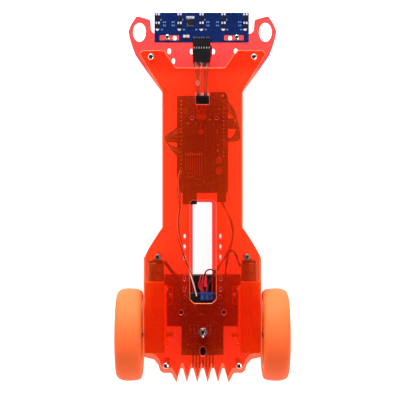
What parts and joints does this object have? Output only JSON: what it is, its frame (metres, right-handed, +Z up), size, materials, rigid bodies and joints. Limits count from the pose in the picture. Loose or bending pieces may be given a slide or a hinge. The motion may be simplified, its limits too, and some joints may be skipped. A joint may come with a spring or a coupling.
{
  "type": "two wheel robot car",
  "caption": "Two-wheeled robot car of stacked clear acrylic plates, with a line sensor across the nose, geared wheels at a comb-edged tail and a ball caster.",
  "frame": {"origin": "on the floor, under the middle of the car's outline", "axes": "+Z up, +Y forward towards the sensor board, +X to the right seen from above"},
  "size_m": [0.174, 0.377, 0.094],
  "materials": {
    "acrylic_orange": "polished clear orange acrylic with bright cut edges",
    "acrylic_pink": "polished clear pinkish red acrylic",
    "orange_rubber": "smooth matt silicone rubber",
    "hub_plastic": "moulded nylon",
    "steel": "bright plated steel",
    "brass": "turned brass",
    "black_plastic": "moulded black plastic",
    "black_metal": "black anodised aluminium",
    "circuit_navy": "dark blue solder mask",
    "circuit_green": "teal solder mask",
    "yellow_plastic": "moulded yellow plastic",
    "blue_plastic": "moulded blue plastic",
    "red_film": "shrink film",
    "wire": "soft wire insulation"
  },
  "bodies": {
    "chassis": {"lower_plate": "acrylic_pink", "top_plate": "acrylic_orange", "motor_bracket_left": "acrylic_orange", "motor_bracket_right": "acrylic_orange", "standoff_front_left": "brass", "screw_front_left": "steel", "standoff_front_right": "brass", "screw_front_right": "steel", "standoff_middle_left": "brass", "screw_middle_left": "steel", "standoff_middle_right": "brass", "screw_middle_right": "steel", "standoff_rear_left": "brass", "screw_rear_left": "steel", "standoff_rear_right": "brass", "screw_rear_right": "steel", "sensor_board": "circuit_navy", "ir_sensor_1": "black_plastic", "ir_sensor_2": "black_plastic", "ir_sensor_3": "black_plastic", "ir_sensor_4": "black_plastic", "ir_sensor_5": "black_plastic", "sensor_header": "black_plastic", "sensor_plug": "black_plastic", "pin_socket_left": "black_plastic", "pin_socket_right": "black_plastic", "microcontroller": "black_plastic", "power_jack": "black_plastic", "usb_socket": "black_plastic", "controller_plug": "black_plastic", "battery_holder": "black_plastic", "switch_body": "black_plastic", "controller_board": "circuit_green", "driver_board": "circuit_green", "switch_nut": "steel", "caster_cup": "steel", "motor_can_left": "steel", "motor_can_right": "steel", "heat_sink": "black_metal", "gearbox_left": "yellow_plastic", "gearbox_right": "yellow_plastic", "terminal_power": "blue_plastic", "terminal_left": "blue_plastic", "terminal_right": "blue_plastic", "cell_front": "red_film", "cell_rear": "red_film", "sensor_cable": "wire", "control_cable": "wire", "power_cable": "wire", "motor_cable_left": "wire", "motor_cable_right": "wire"},
    "left_wheel": {"wheel_shaft_left": "hub_plastic", "rim_left": "hub_plastic", "tyre_left": "orange_rubber"},
    "right_wheel": {"wheel_shaft_right": "hub_plastic", "rim_right": "hub_plastic", "tyre_right": "orange_rubber"},
    "caster": {"caster_ball": "steel"},
    "toggle": {"switch_lever": "steel"},
    "reset": {"reset_button": "black_plastic"}
  },
  "joints": [
    {"name": "left_wheel_spin", "type": "hinge", "parent": "chassis", "child": "left_wheel", "pos_m": [-0.074, -0.1415, 0.047], "axis": [1, 0, 0], "continuous": true},
    {"name": "right_wheel_spin", "type": "hinge", "parent": "chassis", "child": "right_wheel", "pos_m": [0.074, -0.1415, 0.047], "axis": [1, 0, 0], "continuous": true},
    {"name": "caster_roll", "type": "hinge", "parent": "chassis", "child": "caster", "pos_m": [0, 0.15, 0.008], "axis": [1, 0, 0], "continuous": true},
    {"name": "switch_throw", "type": "hinge", "parent": "chassis", "child": "toggle", "pos_m": [0.0004, -0.1366, 0.072], "axis": [-1, 0, 0], "range_deg": [0, 24]},
    {"name": "reset_press", "type": "slide", "parent": "chassis", "child": "reset", "axis": [0, 0, -1], "range_m": [0, 0.00025], "stiffness_N_per_m": 1500}
  ]
}
